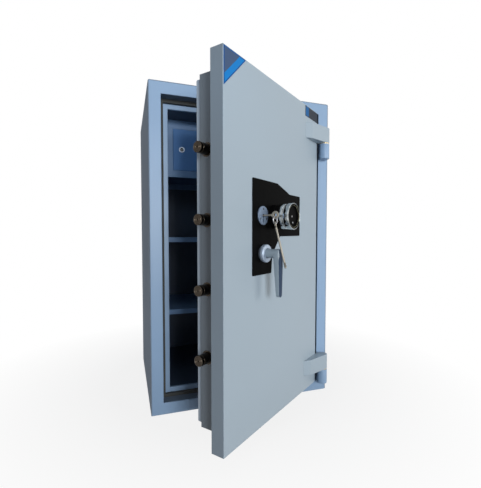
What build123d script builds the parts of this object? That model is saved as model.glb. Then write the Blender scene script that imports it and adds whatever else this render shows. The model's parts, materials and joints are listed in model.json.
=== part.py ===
"""A fire-resistant steel safe with its door standing open, bolts thrown, key in the lock."""

import os
from math import radians, sin

from build123d import *

os.makedirs("parts", exist_ok=True)

# Cabinet: origin at the middle of the footprint on the floor, front towards -Y
width, depth, height = 720, 640, 1200
casing_sheet = 3
casing_corner_r = 6
foot_drop = 2
base_thickness = 8

# Doorway: front face, rebate for the slab, stop frame, and the channel that the bolts enter
frame_face = 44
face_plate = 4
rebate_depth = 62
stop_width = 30
stop_thickness = 10
bolt_channel = 44
seal_width, seal_thickness = 12, 14

# Interior
liner_sheet = 2
shelf_sheet, shelf_lip = 2, 20
shelf_tops = (350, 650)
shelf_setback = 180
bracket_leg, bracket_sheet = 18, 2

# Locker in the top of the interior
locker_base, locker_floor_top = 896, 924
locker_frame_end = 0
locker_opening = (-253, -21, 924, 1091)
locker_door_depth = 18
locker_door_proud = 2
locker_lock_x, locker_lock_z = -217, 1008
locker_barrel_r, locker_pin_r = 4, 2
locker_hinge_heights = (955, 1060)

# Door: drawn shut, written at the angle where it stands open
open_angle = 37
gap_free, gap_hinge, gap_ends = 7, 4, 3
slab_thickness = 43
slab_skin = 5
slab_back_plate = 6
step_inset, step_depth, step_wall = 38, 71, 6
step_flange, step_flange_thickness = 24, 4
cover_inset, cover_depth, cover_sheet = 7, 20, 2

# Outside hinges
pin_out, pin_in = 24, 30
pin_r, knuckle_r = 9, 20
arm_height, block_height = 60, 60
arm_bottoms = (105, 1031)
washer_thickness = 2
running_gap = 0.05

# Bolt work
bolt_r, bolt_throw = 16, 40
bolt_heights = (300, 500, 700, 900)
bolt_behind_stop = 1
bar_width, bar_thickness = 40, 12
bar_reach = 86
arm_plate = 8
cam_r, cam_thickness, cam_pin_r = 40, 10, 6
cam_pin_slack = 1.1

# Locks and handle, as places on the shut door
key_x, key_z = -116, 718
dial_x, dial_z = -42, 717
handle_x, handle_z = -113, 601
lock_case_bottom, lock_case_top = 682, 760
lock_case_depth, lock_case_wall = 53, 3
key_bolt_low, key_bolt_high = 672, 706
key_bow_out = 48
escutcheon_thickness = 3

# Derived places
front = -depth / 2
side = width / 2
opening_x = side - frame_face
opening_bottom, opening_top = frame_face, height - frame_face
clear_x = opening_x - stop_width
clear_bottom, clear_top = opening_bottom + stop_width, opening_top - stop_width
clear_height = clear_top - clear_bottom
mid_z = height / 2
rebate_floor = front + rebate_depth
stop_rear = rebate_floor + stop_thickness
channel_rear = stop_rear + bolt_channel
wall = frame_face + stop_width
inside_rear = -front - wall
skin_inside = side - casing_sheet
back_plane = -front - casing_sheet
liner_x = clear_x + liner_sheet
shelf_front = front + shelf_setback

door_left, door_right = -opening_x + gap_free, opening_x - gap_hinge
door_bottom, door_top = opening_bottom + gap_ends, opening_top - gap_ends
door_width, door_height = door_right - door_left, door_top - door_bottom
door_mid_x = (door_left + door_right) / 2
slab_rear = front + slab_thickness
back_plate_front = slab_rear - slab_back_plate
step_rear = slab_rear + step_depth
cover_rear = step_rear + cover_depth
step_left, step_right = door_left + step_inset, door_right - step_inset
step_width, step_height = step_right - step_left, door_height - 2 * step_inset
flange_front = step_rear - step_flange_thickness

hinge_x, hinge_y = side - pin_in, front - pin_out
hinge_axis = Axis((hinge_x, hinge_y, 0), (0, 0, 1))
bolt_y = stop_rear + bolt_behind_stop + bolt_r
bolt_tip = step_left - bolt_throw
bar_left = bolt_tip + bar_reach
bar_right = bar_left + bar_thickness
arm_plate_rear = bolt_y + arm_plate / 2 - 3
escutcheon_face = front - escutcheon_thickness


def facing(y):
    """A plane across the depth at y: its x is X, its y is Z, and it faces the front."""
    return Plane.XZ.offset(-y)


def write(builder, label, swung=False):
    """Label a finished piece and write it, turned about the hinge when it is on the door."""
    piece = builder.part.rotate(hinge_axis, open_angle) if swung else builder.part
    piece.label = label
    export_step(piece, f"parts/{label}.step")


# Cabinet shell

def make_outer_casing():
    with BuildPart() as outer_casing:
        with BuildSketch(facing(front)):
            with Locations((0, (height + foot_drop) / 2)):
                Rectangle(width, height - foot_drop)
            fillet(outer_corners(), casing_corner_r)
            with Locations((0, (height - casing_sheet) / 2)):
                Rectangle(2 * skin_inside, height - casing_sheet, mode=Mode.SUBTRACT)
        extrude(amount=-(depth - casing_sheet))
        front_rim = outer_casing.edges().group_by(Axis.Y)[0]
        fillet([e for e in front_rim if on_outside(e)], 1.5)
    write(outer_casing, "outer_casing")


def outer_corners():
    """The two top corners of the sketch in hand."""
    return BuildSketch._get_context().vertices().group_by(Axis.Y)[-1]


def on_outside(edge):
    """True for an edge on the casing's outer outline."""
    middle = edge @ 0.5
    return abs(middle.X) > skin_inside + 0.5 or middle.Z > height - casing_sheet + 0.5


def make_back_panel():
    with BuildPart() as back_panel:
        with BuildSketch(facing(back_plane)):
            with Locations((0, (height + foot_drop) / 2)):
                Rectangle(width, height - foot_drop)
            fillet(outer_corners(), casing_corner_r)
        extrude(amount=-casing_sheet)
        chamfer(back_panel.faces().sort_by(Axis.Y)[-1].edges(), 1)
    write(back_panel, "back_panel")


def make_base_plate():
    base_depth = back_plane - front - face_plate
    with BuildPart() as base_plate:
        with BuildSketch():
            with Locations((0, front + face_plate + base_depth / 2)):
                Rectangle(2 * skin_inside, base_depth)
        extrude(amount=base_thickness)
    write(base_plate, "base_plate")


def make_ring(label, y_front, thickness, outer, inner, chamfer_size=0):
    """A flat rectangular ring; outer and inner are (half width, bottom, top)."""
    with BuildPart() as ring:
        with BuildSketch(facing(y_front)):
            for (half, low, high), mode in ((outer, Mode.ADD), (inner, Mode.SUBTRACT)):
                with Locations((0, (low + high) / 2)):
                    Rectangle(2 * half, high - low, mode=mode)
        extrude(amount=-thickness)
        if chamfer_size:
            chamfer(ring.faces().sort_by(Axis.Y)[0].inner_wires()[0].edges(), chamfer_size)
    write(ring, label)


def make_doorway():
    opening = (opening_x, opening_bottom, opening_top)
    jamb_outside = (opening_x + face_plate, opening_bottom - face_plate, opening_top + face_plate)
    face_outside = (skin_inside, foot_drop, height - casing_sheet)
    clear = (clear_x, clear_bottom, clear_top)
    seal_inside = (opening_x - seal_width, opening_bottom + seal_width, opening_top - seal_width)
    make_ring("front_frame", front, face_plate, face_outside, opening, 1)
    make_ring("door_jamb", front + face_plate, rebate_depth - face_plate, jamb_outside, opening)
    make_ring("door_stop_frame", rebate_floor, stop_thickness, jamb_outside, clear, 1)
    make_ring("heat_seal", rebate_floor - seal_thickness, seal_thickness, opening, seal_inside)


def make_side_insulation(label, sign):
    outline = [
        (sign * skin_inside, front + face_plate),
        (sign * skin_inside, back_plane),
        (sign * liner_x, back_plane),
        (sign * liner_x, channel_rear),
        (sign * (opening_x + face_plate), channel_rear),
        (sign * (opening_x + face_plate), front + face_plate),
    ]
    with BuildPart() as side_insulation:
        with BuildSketch(Plane.XY.offset(base_thickness)):
            with BuildLine():
                Polyline(*outline, close=True)
            make_face()
        extrude(amount=height - casing_sheet - base_thickness)
    write(side_insulation, label)


def make_end_insulation(label, skin_z, jamb_z, liner_z):
    outline = [
        (front + face_plate, skin_z),
        (back_plane, skin_z),
        (back_plane, liner_z),
        (stop_rear, liner_z),
        (stop_rear, jamb_z),
        (front + face_plate, jamb_z),
    ]
    with BuildPart() as end_insulation:
        with BuildSketch(Plane.YZ.offset(-liner_x)):
            with BuildLine():
                Polyline(*outline, close=True)
            make_face()
        extrude(amount=2 * liner_x)
    write(end_insulation, label)


def make_insulation():
    make_side_insulation("insulation_left", -1)
    make_side_insulation("insulation_right", 1)
    make_end_insulation(
        "insulation_top", height - casing_sheet, opening_top + face_plate, clear_top + liner_sheet
    )
    make_end_insulation(
        "insulation_bottom", base_thickness, opening_bottom - face_plate, clear_bottom - liner_sheet
    )
    liner_rear = inside_rear + liner_sheet
    with BuildPart() as insulation_back:
        with BuildSketch(facing(liner_rear)):
            with Locations((0, mid_z)):
                Rectangle(2 * liner_x, clear_height + 2 * liner_sheet)
        extrude(amount=-(back_plane - liner_rear))
    write(insulation_back, "insulation_back")


def make_inner_liner():
    """A folded tub, its sides cut back where the bolts enter behind the stop frame."""
    liner_depth = inside_rear + liner_sheet - stop_rear
    with BuildPart() as inner_liner:
        with BuildSketch(facing(stop_rear)):
            with Locations((0, mid_z)):
                Rectangle(2 * liner_x, clear_height + 2 * liner_sheet)
        extrude(amount=-liner_depth)
        offset(amount=-liner_sheet, openings=inner_liner.faces().sort_by(Axis.Y)[0])
        with Locations((0, stop_rear + bolt_channel / 2, mid_z)):
            Box(2 * side, bolt_channel, clear_height, mode=Mode.SUBTRACT)
    write(inner_liner, "inner_liner")


# Shelves and the locker

def make_tray(label, top, lip):
    """A sheet shelf with its four edges folded down."""
    tray_width, tray_depth = 2 * clear_x - 4, inside_rear - 2 - shelf_front
    with BuildPart() as tray:
        with BuildSketch(Plane.XY.offset(top - lip)):
            with Locations((0, shelf_front + tray_depth / 2)):
                Rectangle(tray_width, tray_depth)
        extrude(amount=lip)
        fillet(tray.faces().sort_by(Axis.Z)[-1].edges().sort_by(Axis.Y)[0], 1.5)
        offset(amount=-shelf_sheet, openings=tray.faces().sort_by(Axis.Z)[0])
    write(tray, label)


def make_shelf_brackets():
    """Angle strips on the side walls, one pair under each shelf and under the locker floor."""
    strip_front, strip_length = shelf_front + 40, 300
    lips_down = [shelf_tops[0] - shelf_lip, shelf_tops[1] - shelf_lip, locker_base]
    with BuildPart() as shelf_brackets:
        for sign in (-1, 1):
            wall_x = sign * clear_x
            for top in lips_down:
                with BuildSketch(facing(strip_front)):
                    with BuildLine():
                        Polyline(
                            (wall_x, top),
                            (wall_x - sign * bracket_leg, top),
                            (wall_x - sign * bracket_leg, top - bracket_sheet),
                            (wall_x - sign * bracket_sheet, top - bracket_sheet),
                            (wall_x - sign * bracket_sheet, top - bracket_leg),
                            (wall_x, top - bracket_leg),
                            close=True,
                        )
                    make_face()
        extrude(amount=-strip_length)
    write(shelf_brackets, "shelf_brackets")


def make_locker_front():
    left, right, low, high = locker_opening
    with BuildPart() as locker_front_frame:
        with BuildSketch(facing(shelf_front - shelf_sheet)):
            with Locations(((locker_frame_end - clear_x) / 2, (locker_base + clear_top) / 2)):
                Rectangle(clear_x + locker_frame_end, clear_top - locker_base)
            with Locations(((left + right) / 2, (low + high) / 2)):
                Rectangle(right - left, high - low, mode=Mode.SUBTRACT)
        extrude(amount=-shelf_sheet)
    write(locker_front_frame, "locker_front_frame")

    wall_depth = inside_rear - shelf_front
    with BuildPart() as locker_partition:
        with BuildSketch(Plane.XY.offset(locker_floor_top)):
            with Locations((locker_frame_end - shelf_sheet / 2, shelf_front + wall_depth / 2)):
                Rectangle(shelf_sheet, wall_depth)
        extrude(amount=clear_top - locker_floor_top)
    write(locker_partition, "locker_partition")


def make_locker_door():
    left, right, low, high = locker_opening
    door_front = shelf_front - shelf_sheet - locker_door_proud
    mid_x, mid_height = (left + right) / 2, (low + high) / 2
    with BuildPart() as locker_door:
        with BuildSketch(facing(door_front)):
            with Locations((mid_x, mid_height)):
                RectangleRounded(right - left - 2, high - low - 2, 1.5)
        extrude(amount=-locker_door_depth)
        chamfer(locker_door.faces().sort_by(Axis.Y)[0].edges(), 0.8)
        offset(amount=-shelf_sheet, openings=locker_door.faces().sort_by(Axis.Y)[-1])
        with BuildSketch(facing(door_front)):
            with Locations((locker_lock_x, locker_lock_z)):
                Circle(9)
        extrude(amount=-3 * shelf_sheet, mode=Mode.SUBTRACT)
    write(locker_door, "locker_door")


def make_locker_lock():
    """A cam lock: a collared barrel with a key slot, and a cam that stands up when unlocked."""
    door_front = shelf_front - shelf_sheet - locker_door_proud
    with BuildPart() as locker_lock:
        with BuildSketch(facing(door_front)):
            with Locations((locker_lock_x, locker_lock_z)):
                Circle(12)
        extrude(amount=3)
        fillet(locker_lock.faces().sort_by(Axis.Y)[0].edges(), 1)
        with BuildSketch(facing(door_front)):
            with Locations((locker_lock_x, locker_lock_z)):
                Circle(8.9)
        extrude(amount=-22)
        with BuildSketch(facing(door_front - 3)):
            with Locations((locker_lock_x, locker_lock_z)):
                Rectangle(2, 8)
        extrude(amount=-4, mode=Mode.SUBTRACT)
    write(locker_lock, "locker_lock")

    with BuildPart() as locker_cam:
        with BuildSketch(facing(door_front + 22)):
            with Locations((locker_lock_x, locker_lock_z + 16)):
                SlotOverall(58, 16, rotation=90)
        extrude(amount=-3)
    write(locker_cam, "locker_cam")


def make_locker_hinges():
    """Two small lift-off hinges: leaf, knuckle and pin on the frame, leaf and knuckle on the door."""
    pivot_x, pivot_y = locker_pivot()
    frame_plane = shelf_front - shelf_sheet
    door_plane = frame_plane - locker_door_proud
    leaf, knuckle = 1.5, 14
    with BuildPart() as locker_hinge_frame_leaves:
        for z in locker_hinge_heights:
            with BuildSketch(Plane.XY.offset(z)):
                with Locations((pivot_x, pivot_y)):
                    Circle(locker_barrel_r)
                with Locations((pivot_x + 9, frame_plane - leaf / 2)):
                    Rectangle(18, leaf)
                with Locations((pivot_x + 0.8, (pivot_y + frame_plane) / 2)):
                    Rectangle(leaf, frame_plane - pivot_y)
        extrude(amount=knuckle)
        for z in locker_hinge_heights:
            with BuildSketch(Plane.XY.offset(z)):
                with Locations((pivot_x, pivot_y)):
                    Circle(locker_pin_r)
        extrude(amount=2 * knuckle)
    write(locker_hinge_frame_leaves, "locker_hinge_frame_leaves")

    with BuildPart() as locker_hinge_door_leaves:
        for z in locker_hinge_heights:
            with BuildSketch(Plane.XY.offset(z + knuckle + 0.5)):
                with Locations((pivot_x, pivot_y)):
                    Circle(locker_barrel_r)
                with Locations((pivot_x - 11, door_plane - leaf / 2)):
                    Rectangle(16, leaf)
                with Locations((pivot_x - 3.2, door_plane - leaf / 2)):
                    Rectangle(4, leaf)
        extrude(amount=knuckle)
        with Locations(*[(pivot_x, pivot_y, z + knuckle) for z in locker_hinge_heights]):
            Cylinder(locker_pin_r + running_gap, 4 * knuckle, mode=Mode.SUBTRACT)
    write(locker_hinge_door_leaves, "locker_hinge_door_leaves")


def locker_pivot():
    """The locker hinge's axis: its barrel stands just in front of the frame."""
    return locker_opening[1] + 3, shelf_front - shelf_sheet - locker_barrel_r - 2


# Outside hinges

def make_hinge_side_pieces():
    for low, label in zip(arm_bottoms, ("hinge_block_lower", "hinge_block_upper")):
        block_bottom = low - washer_thickness - block_height
        with BuildPart() as hinge_block:
            with BuildSketch(Plane.XY.offset(block_bottom)):
                with Locations((hinge_x, hinge_y)):
                    Circle(knuckle_r)
                with Locations((hinge_x + 3.5, (hinge_y + front) / 2)):
                    Rectangle(2 * knuckle_r - 7, pin_out)
            extrude(amount=block_height)
            chamfer(hinge_block.faces().sort_by(Axis.Z)[0].edges(), 1.5)
            with BuildSketch(Plane.XY.offset(low - washer_thickness)):
                with Locations((hinge_x, hinge_y)):
                    Circle(pin_r)
            extrude(amount=-block_height + 8, mode=Mode.SUBTRACT)
        write(hinge_block, label)

    with BuildPart() as hinge_pins:
        for low in arm_bottoms:
            with BuildSketch(Plane.XY.offset(low - washer_thickness - block_height + 8)):
                with Locations((hinge_x, hinge_y)):
                    Circle(pin_r)
        extrude(amount=block_height - 8 + washer_thickness + arm_height - 10)
        chamfer(hinge_pins.faces().filter_by(Axis.Z).edges(), 1)
    write(hinge_pins, "hinge_pins")

    with BuildPart() as hinge_washers:
        for low in arm_bottoms:
            with BuildSketch(Plane.XY.offset(low - washer_thickness)):
                with Locations((hinge_x, hinge_y)):
                    Circle(knuckle_r - 1)
                    Circle(pin_r + 2 * running_gap, mode=Mode.SUBTRACT)
        extrude(amount=washer_thickness)
    write(hinge_washers, "hinge_washers")


def make_hinge_arms():
    """Wedge-shaped arms welded to the door, each ending in a knuckle over its pin."""
    arm_reach, bevel_run, bevel_rise = 110, 24, 18
    arm_left = door_right - arm_reach
    tail = [(arm_left, front), (arm_left + bevel_run, front - bevel_rise), (door_right, front)]
    for low, label in zip(arm_bottoms, ("hinge_arm_lower", "hinge_arm_upper")):
        with BuildPart() as hinge_arm:
            with BuildSketch(Plane.XY.offset(low)):
                with BuildLine():
                    Polyline(*tail, close=True)
                make_face()
                with Locations((hinge_x, hinge_y)):
                    Circle(knuckle_r)
                make_hull()
            extrude(amount=arm_height)
            chamfer(hinge_arm.faces().filter_by(Axis.Z).edges(), 1)
            with BuildSketch(Plane.XY.offset(low)):
                with Locations((hinge_x, hinge_y)):
                    Circle(pin_r + running_gap)
            extrude(amount=arm_height - 9, mode=Mode.SUBTRACT)
        write(hinge_arm, label, swung=True)


# Door slab

def cut_lock_holes(y_front, through):
    """Keyhole, dial spindle hole and handle spindle hole, cut in the part in hand."""
    with BuildSketch(facing(y_front)) as holes:
        with Locations((key_x, key_z)):
            Circle(6)
        with Locations((key_x, key_z - 11)):
            Rectangle(6, 22)
        with Locations((dial_x, dial_z)):
            Circle(5)
        with Locations((handle_x, handle_z)):
            Circle(7.5)
    extrude(holes.sketch, amount=-through, mode=Mode.SUBTRACT)


def make_door_skin():
    with BuildPart() as door_skin:
        with BuildSketch(facing(front)):
            with Locations((door_mid_x, mid_z)):
                Rectangle(door_width, door_height)
        extrude(amount=-slab_thickness)
        fillet(door_skin.edges().filter_by(Axis.Y), 1.5)
        fillet(door_skin.faces().sort_by(Axis.Y)[0].edges(), 1.5)
        offset(amount=-slab_skin, openings=door_skin.faces().sort_by(Axis.Y)[-1])
        cut_lock_holes(front, 2 * slab_skin)
    write(door_skin, "door_skin", swung=True)


def make_door_core():
    core_width, core_height = door_width - 2 * slab_skin, door_height - 2 * slab_skin
    core_front = front + slab_skin
    with BuildPart() as door_insulation:
        with BuildSketch(facing(core_front)):
            with Locations((door_mid_x, mid_z)):
                Rectangle(core_width, core_height)
        extrude(amount=-(back_plate_front - core_front))
        cut_lock_holes(core_front, slab_thickness)
    write(door_insulation, "door_insulation", swung=True)

    with BuildPart() as door_back_plate:
        with BuildSketch(facing(back_plate_front)):
            with Locations((door_mid_x, mid_z)):
                Rectangle(core_width, core_height)
        extrude(amount=-slab_back_plate)
        cut_lock_holes(back_plate_front, slab_thickness)
    write(door_back_plate, "door_back_plate", swung=True)


def screw_places():
    """Cover screws along the flange of the step frame."""
    inset = step_wall + step_flange / 2
    columns = (step_left + inset, step_right - inset)
    rows = [mid_z + k * (step_height / 2 - inset) / 2 for k in (-2, -1, 0, 1, 2)]
    return [(x, z) for x in columns for z in rows]


def make_step_frame():
    """Four welded bars around the bolt work, with a flange at the rear for the cover."""
    with BuildPart() as step_frame:
        with BuildSketch(facing(slab_rear)):
            with Locations((door_mid_x, mid_z)):
                Rectangle(step_width, step_height)
                Rectangle(step_width - 2 * step_wall, step_height - 2 * step_wall, mode=Mode.SUBTRACT)
        extrude(amount=-step_depth)
        with BuildSketch(facing(flange_front)):
            with Locations((door_mid_x, mid_z)):
                Rectangle(step_width - step_wall, step_height - step_wall)
                flange_edge = 2 * (step_wall + step_flange)
                Rectangle(step_width - flange_edge, step_height - flange_edge, mode=Mode.SUBTRACT)
        extrude(amount=-step_flange_thickness)
        with BuildSketch(Plane.YZ.offset(step_left - 1)):
            with Locations(*[(bolt_y, z) for z in bolt_heights]):
                Circle(bolt_r + 0.4)
        extrude(amount=2 * step_wall, mode=Mode.SUBTRACT)
        with BuildSketch(facing(flange_front)):
            with Locations(*screw_places()):
                Circle(3.2)
        extrude(amount=-step_flange_thickness, mode=Mode.SUBTRACT)
    write(step_frame, "step_frame", swung=True)


def make_back_cover():
    cover_width, cover_height = step_width - 2 * cover_inset, step_height - 2 * cover_inset
    with BuildPart() as back_cover:
        with BuildSketch(facing(step_rear)):
            with Locations((door_mid_x, mid_z)):
                Rectangle(cover_width, cover_height)
        extrude(amount=-cover_depth)
        fillet(back_cover.edges().filter_by(Axis.Y), 6)
        fillet(back_cover.faces().sort_by(Axis.Y)[-1].edges(), 3)
        offset(amount=-cover_sheet, openings=back_cover.faces().sort_by(Axis.Y)[0])
        with BuildSketch(facing(cover_rear)):
            with Locations(*screw_places()):
                Circle(3.2)
        extrude(amount=2 * cover_sheet, mode=Mode.SUBTRACT)
    write(back_cover, "back_cover", swung=True)

    with BuildPart() as cover_screws:
        with BuildSketch(facing(cover_rear)):
            with Locations(*screw_places()):
                Circle(5.5)
        extrude(amount=-3)
        with BuildSketch(facing(cover_rear)):
            with Locations(*screw_places()):
                Circle(3)
        extrude(amount=cover_depth + step_flange_thickness)
    write(cover_screws, "cover_screws", swung=True)


def make_dog_bar():
    """A fixed bar on the hinge side that hooks behind the stop frame when the door shuts."""
    bar_length, bar_height = 800, 30
    dog_front = stop_rear + 6
    with BuildPart() as dog_bar:
        with BuildSketch(Plane.XY.offset(mid_z - bar_length / 2)):
            with Locations((step_right + 10, dog_front + bar_height / 2)):
                Rectangle(20, bar_height)
        extrude(amount=bar_length)
        chamfer(dog_bar.edges().filter_by(Axis.Z).group_by(Axis.X)[-1], 3)
    write(dog_bar, "dog_bar", swung=True)


# Bolt work

def make_bolts():
    tail_r, tail = 8, bar_thickness + 14
    places = [(bolt_y, z) for z in bolt_heights]
    with BuildPart() as locking_bolts:
        with BuildSketch(Plane.YZ.offset(bolt_tip)):
            with Locations(*places):
                Circle(bolt_r)
        extrude(amount=bar_reach)
        chamfer(locking_bolts.faces().filter_by(Axis.X).group_by(Axis.X)[0].edges(), 2)
        with BuildSketch(Plane.YZ.offset(bolt_tip)):
            with Locations(*places):
                Circle(2)
        extrude(amount=3, mode=Mode.SUBTRACT)
        with BuildSketch(Plane.YZ.offset(bar_left)):
            with Locations(*places):
                Circle(tail_r)
        extrude(amount=tail)
    write(locking_bolts, "locking_bolts", swung=True)

    with BuildPart() as bolt_nuts:
        with BuildSketch(Plane.YZ.offset(bar_right)):
            with Locations(*[(bolt_y, z) for z in bolt_heights]):
                RegularPolygon(13, 6)
                Circle(tail_r, mode=Mode.SUBTRACT)
        extrude(amount=12)
    write(bolt_nuts, "bolt_nuts", swung=True)


def make_bolt_bar():
    tail_r = 8
    low, high = bolt_heights[0] - 50, bolt_heights[-1] + 50
    with BuildPart() as bolt_bar:
        with BuildSketch(Plane.YZ.offset(bar_left)):
            with Locations((bolt_y, (low + high) / 2)):
                Rectangle(bar_width, high - low)
            with Locations(*[(bolt_y, z) for z in bolt_heights]):
                Circle(tail_r, mode=Mode.SUBTRACT)
        extrude(amount=bar_thickness)
    write(bolt_bar, "bolt_bar", swung=True)

    guide_length, guide_height, rail_gap = 90, 15, 1
    with BuildPart() as bar_guides:
        for z, sign in ((low, -1), (high, 1)):
            with BuildSketch(facing(slab_rear)):
                with Locations((bar_left + guide_length / 2 - 20, z + sign * (guide_height / 2 + rail_gap))):
                    Rectangle(guide_length, guide_height)
        extrude(amount=-(step_depth - 10))
    write(bar_guides, "bar_guides", swung=True)


def cam_pin_place():
    """The cam pin with the bolts thrown: half the throw to the left of the spindle, and above."""
    half = bolt_throw / 2
    return handle_x - half, handle_z + half


def make_drive_arm():
    """The plate that joins the bolt bar to the handle, notched for the two lock bolts."""
    left, right, low, high = bar_right, -24, 575, 668
    pin_x, pin_z = cam_pin_place()
    pin_travel = bolt_throw / 2 / sin(radians(45)) - bolt_throw / 2
    slot_r = cam_pin_r + cam_pin_slack
    with BuildPart() as drive_arm:
        with BuildSketch(facing(arm_plate_rear - arm_plate)):
            with Locations(((left + right) / 2, (low + high) / 2)):
                Rectangle(right - left, high - low)
            with Locations((pin_x, pin_z + pin_travel / 2)):
                SlotCenterToCenter(pin_travel + 4, 2 * slot_r, rotation=90, mode=Mode.SUBTRACT)
            with Locations((key_x, high), (dial_x, high)):
                Rectangle(24, 40, mode=Mode.SUBTRACT)
        extrude(amount=-arm_plate)
    write(drive_arm, "drive_arm", swung=True)


def make_drive_cam():
    pin_x, pin_z = cam_pin_place()
    cam_front = slab_rear + 14
    with BuildPart() as drive_cam:
        with BuildSketch(facing(cam_front)):
            with Locations((handle_x, handle_z)):
                Circle(cam_r)
                Rectangle(11, 11, mode=Mode.SUBTRACT)
        extrude(amount=-cam_thickness)
        with BuildSketch(facing(cam_front + cam_thickness)):
            with Locations((pin_x, pin_z)):
                Circle(cam_pin_r)
        extrude(amount=-(arm_plate_rear + 4 - cam_front - cam_thickness))
    write(drive_cam, "drive_cam", swung=True)


# Handle

def make_handle():
    collar_face = escutcheon_face - 9
    lever_out, lever_back = front - 65, front - 37
    lever_bottom, top_r, tip_r = 478, 14.5, 9.5
    with BuildPart() as handle_collar:
        with BuildSketch(facing(escutcheon_face)):
            with Locations((handle_x, handle_z)):
                Circle(28)
                Circle(7.2, mode=Mode.SUBTRACT)
        extrude(amount=9)
        fillet(handle_collar.faces().sort_by(Axis.Y)[0].outer_wire().edges(), 3)
    write(handle_collar, "handle_collar", swung=True)

    with BuildPart() as handle:
        with BuildSketch(facing(lever_out)):
            with Locations((handle_x, handle_z)):
                Circle(top_r)
            with Locations((handle_x, lever_bottom)):
                Circle(tip_r)
            make_hull()
        extrude(amount=-(lever_back - lever_out))
        with BuildSketch(Plane.YZ.offset(handle_x)):
            with BuildLine():
                Polyline(
                    (lever_back, handle_z - top_r),
                    (lever_back + 1, lever_bottom - 2 * tip_r),
                    (lever_out + 11, lever_bottom - 2 * tip_r),
                    close=True,
                )
            make_face()
        extrude(amount=2 * top_r, both=True, mode=Mode.SUBTRACT)
        chamfer(handle.faces().sort_by(Axis.Y)[0].edges(), 3)
        with BuildSketch(facing(collar_face - 0.5)):
            with Locations((handle_x, handle_z)):
                Circle(top_r)
        extrude(amount=collar_face - 0.5 - lever_back)
    write(handle, "handle", swung=True)

    with BuildPart() as handle_spindle:
        with BuildSketch(facing(collar_face - 0.5)):
            with Locations((handle_x, handle_z)):
                Circle(7)
        extrude(amount=-(slab_rear + 14 - collar_face + 0.5))
        with BuildSketch(facing(slab_rear + 14)):
            with Locations((handle_x, handle_z)):
                Rectangle(11, 11)
        extrude(amount=-cam_thickness)
    write(handle_spindle, "handle_spindle", swung=True)


# Locks

def make_lock_case(label, mid_x, case_width):
    """An open-fronted case against the back plate, slotted below for its bolt."""
    case_height = lock_case_top - lock_case_bottom
    with BuildPart() as lock_case:
        with BuildSketch(facing(slab_rear)):
            with Locations((mid_x, lock_case_bottom + case_height / 2)):
                Rectangle(case_width, case_height)
        extrude(amount=-lock_case_depth)
        fillet(lock_case.edges().filter_by(Axis.Y), 4)
        offset(amount=-lock_case_wall, openings=lock_case.faces().sort_by(Axis.Y)[0])
        with Locations((mid_x, arm_plate_rear - arm_plate / 2, lock_case_bottom)):
            Box(22, arm_plate + 2, 4 * lock_case_wall, mode=Mode.SUBTRACT)
    write(lock_case, label, swung=True)


def make_lock_bolt(label, mid_x):
    """A square bolt that drops into a notch of the drive arm, drawn lifted clear of it."""
    low, high = key_bolt_low, key_bolt_high
    with BuildPart() as lock_bolt:
        with BuildSketch(facing(arm_plate_rear - arm_plate)):
            with Locations((mid_x, (low + high) / 2)):
                Rectangle(20, high - low)
        extrude(amount=-arm_plate)
        chamfer(lock_bolt.faces().sort_by(Axis.Z)[0].edges(), 1)
    write(lock_bolt, label, swung=True)


def make_lock_works():
    make_lock_case("key_lock_case", key_x, 76)
    make_lock_case("combination_lock_case", dial_x, 64)
    make_lock_bolt("key_lock_bolt", key_x)
    make_lock_bolt("combination_lock_bolt", dial_x)
    with BuildPart() as combination_wheels:
        for gap in (22, 28, 34):
            with BuildSketch(facing(slab_rear + gap - 1)):
                with Locations((dial_x, dial_z)):
                    Circle(25)
                    Circle(5, mode=Mode.SUBTRACT)
                with Locations((dial_x + gap - 28, dial_z + 25)):
                    Rectangle(5, 12, mode=Mode.SUBTRACT)
            extrude(amount=-3)
    write(combination_wheels, "combination_wheels", swung=True)


def make_escutcheon():
    outline = [
        (-170, 534),
        (-60, 535),
        (-54, 593),
        (-21, 632),
        (0, 654),
        (148, 656),
        (148, 800),
        (68, 800),
        (-20, 828),
        (-170, 828),
    ]
    with BuildPart() as escutcheon:
        with BuildSketch(facing(front)) as outline_sketch:
            with BuildLine():
                Polyline(*outline, close=True)
            make_face()
            fillet(outline_sketch.vertices(), 4)
        extrude(amount=escutcheon_thickness)
        chamfer(escutcheon.faces().sort_by(Axis.Y)[0].edges(), 0.6)
        cut_lock_holes(escutcheon_face, 2 * escutcheon_thickness)
    write(escutcheon, "escutcheon", swung=True)


def make_key_rose():
    rose_r, rose_thickness = 29, 4
    rose_face = escutcheon_face - rose_thickness
    with BuildPart() as key_rose:
        with BuildSketch(facing(escutcheon_face)):
            with Locations((key_x, key_z)):
                Circle(rose_r)
        extrude(amount=rose_thickness)
        fillet(key_rose.faces().sort_by(Axis.Y)[0].edges(), 1)
        with BuildSketch(facing(rose_face)):
            with Locations((key_x, key_z)):
                with PolarLocations(20, 3, start_angle=90):
                    Circle(2.2)
        extrude(amount=-2, mode=Mode.SUBTRACT)
        cut_lock_holes(rose_face, 2 * rose_thickness)
    write(key_rose, "key_rose", swung=True)


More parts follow.
